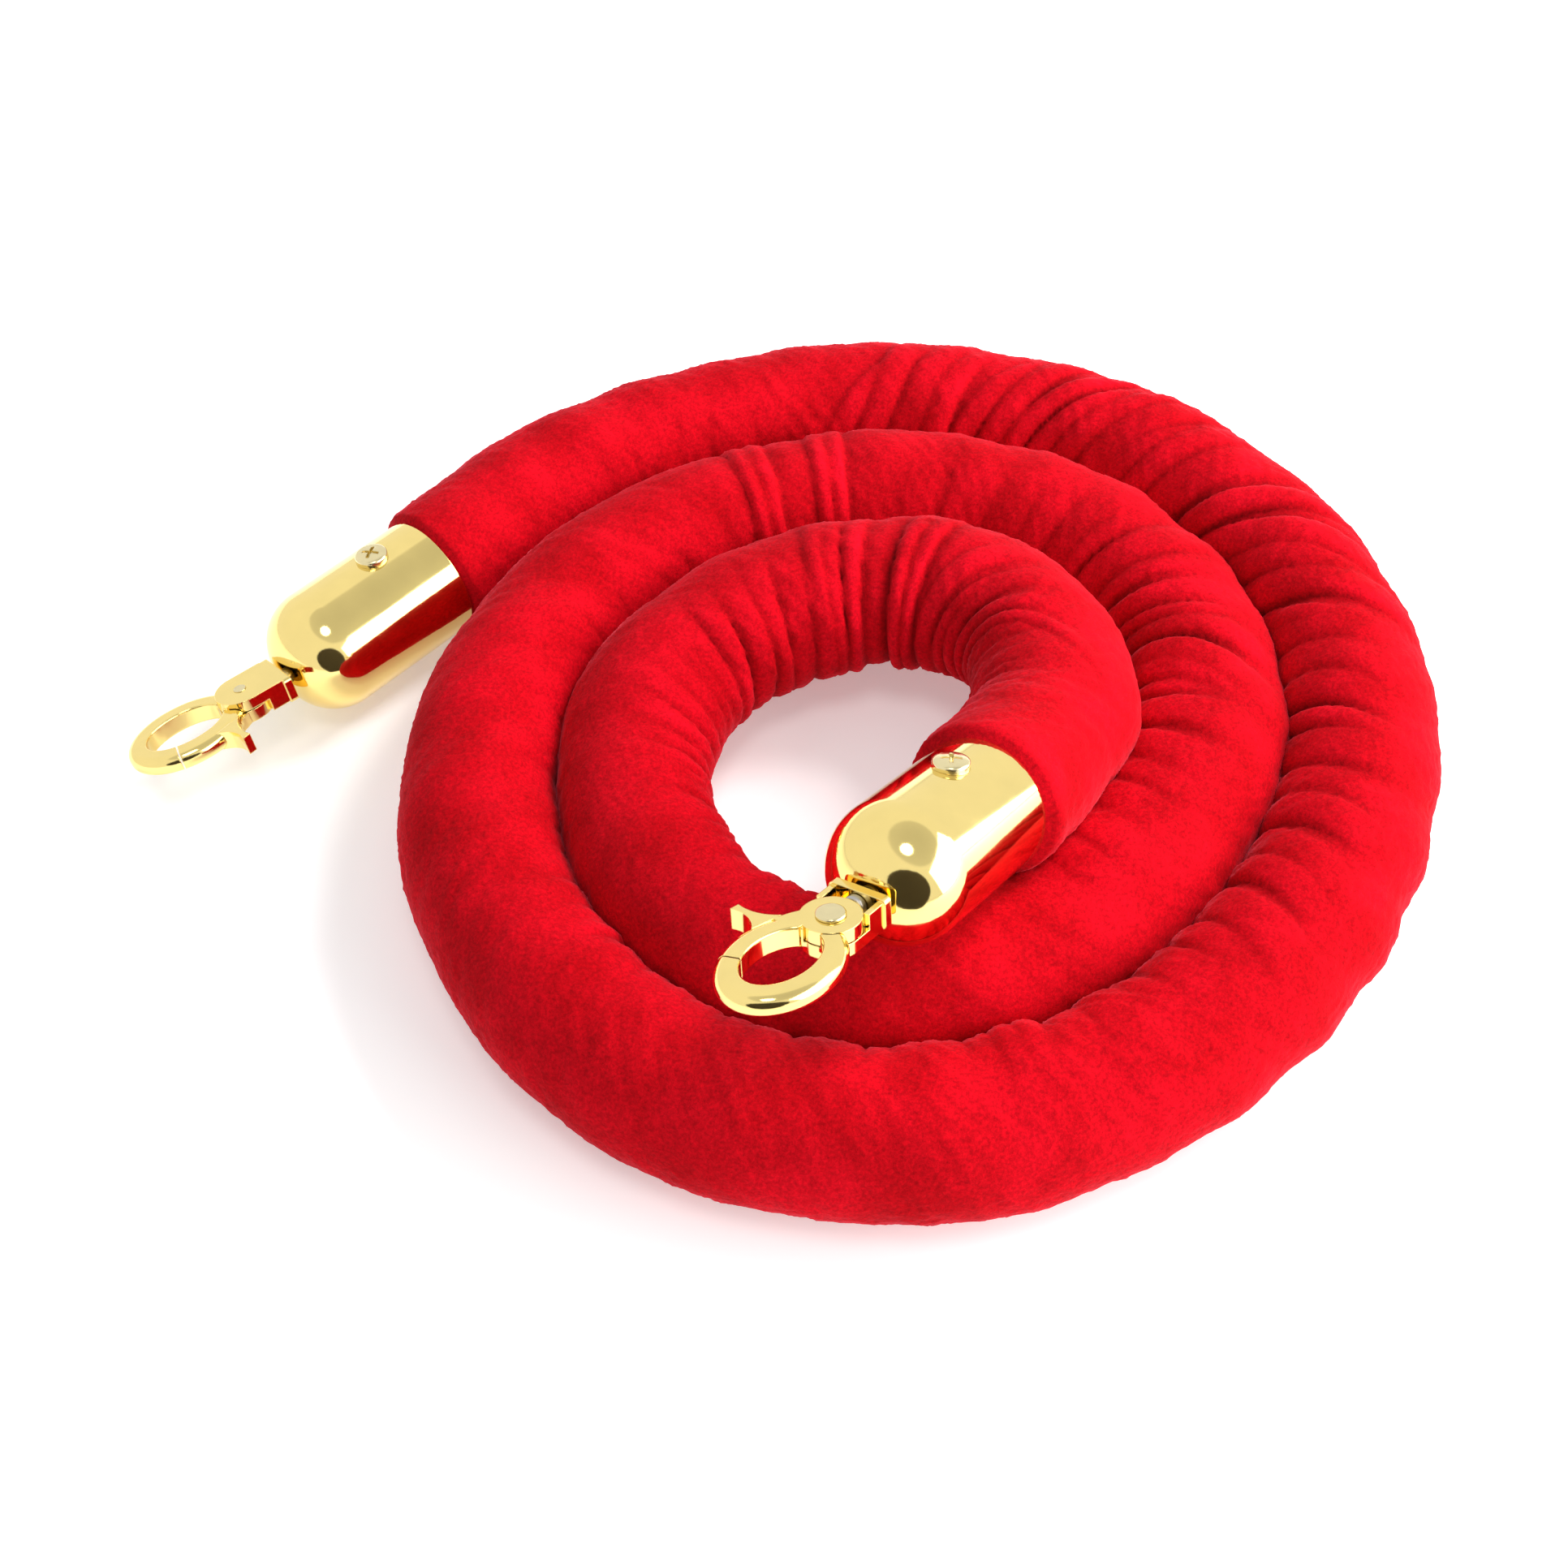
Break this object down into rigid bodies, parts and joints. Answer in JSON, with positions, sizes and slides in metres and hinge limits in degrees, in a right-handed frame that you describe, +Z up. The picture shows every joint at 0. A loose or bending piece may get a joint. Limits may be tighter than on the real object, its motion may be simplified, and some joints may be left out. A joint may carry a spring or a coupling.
{
  "type": "velvet barrier rope",
  "caption": "Red velvet barrier rope with domed brass end caps and swivelling trigger hooks, lying in a flat coil.",
  "frame": {"origin": "middle of the coil, on the surface it lies on", "axes": "+Z up; -Y towards the side where the inner cap's hook lies over the coil; the outer cap points out towards -X"},
  "size_m": [0.3115, 0.2608, 0.0741],
  "materials": {
    "velvet": "plush pile",
    "foam": "soft filling",
    "gold": "mirror polished",
    "screw_metal": "bright plated",
    "steel": "plain",
    "plug_wood": "bare turned wood"
  },
  "bodies": {
    "rope": {"velvet_sleeve": "velvet", "foam_core": "foam", "outer_cap": "gold", "outer_end_plug": "plug_wood", "outer_cap_screw_upper": "screw_metal", "outer_cap_screw_lower": "screw_metal", "outer_swivel_stem": "steel", "outer_stem_washer": "steel", "outer_stem_nut": "steel", "inner_cap": "gold", "inner_end_plug": "plug_wood", "inner_cap_screw_upper": "screw_metal", "inner_cap_screw_lower": "screw_metal", "inner_swivel_stem": "steel", "inner_stem_washer": "steel", "inner_stem_nut": "steel"},
    "outer_hook": {"outer_hook_body": "gold", "outer_gate_rivet": "screw_metal", "outer_gate_spring": "steel"},
    "outer_gate_arm": {"outer_gate": "gold"},
    "inner_hook": {"inner_hook_body": "gold", "inner_gate_rivet": "screw_metal", "inner_gate_spring": "steel"},
    "inner_gate_arm": {"inner_gate": "gold"}
  },
  "joints": [
    {"name": "outer_swivel", "type": "hinge", "parent": "rope", "child": "outer_hook", "pos_m": [-0.1476, 0.01987, 0.0175], "axis": [-0.6756, -0.7373, 0], "continuous": true},
    {"name": "outer_gate_hinge", "type": "hinge", "parent": "outer_hook", "child": "outer_gate_arm", "pos_m": [-0.15479, 0.01351, 0.0175], "axis": [-0.1937, 0.219, 0.9563], "range_deg": [0, 25], "stiffness_Nm_per_rad": 0.02, "springref_deg": -34.38},
    {"name": "inner_swivel", "type": "hinge", "parent": "rope", "child": "inner_hook", "pos_m": [-0.00935, -0.07743, 0.06112], "axis": [-0.556, -0.7597, 0.3371], "continuous": true},
    {"name": "inner_gate_hinge", "type": "hinge", "parent": "inner_hook", "child": "inner_gate_arm", "pos_m": [-0.01513, -0.0847, 0.06352], "axis": [0.052, -0.3504, -0.9352], "range_deg": [0, 25], "stiffness_Nm_per_rad": 0.02, "springref_deg": -34.38}
  ]
}
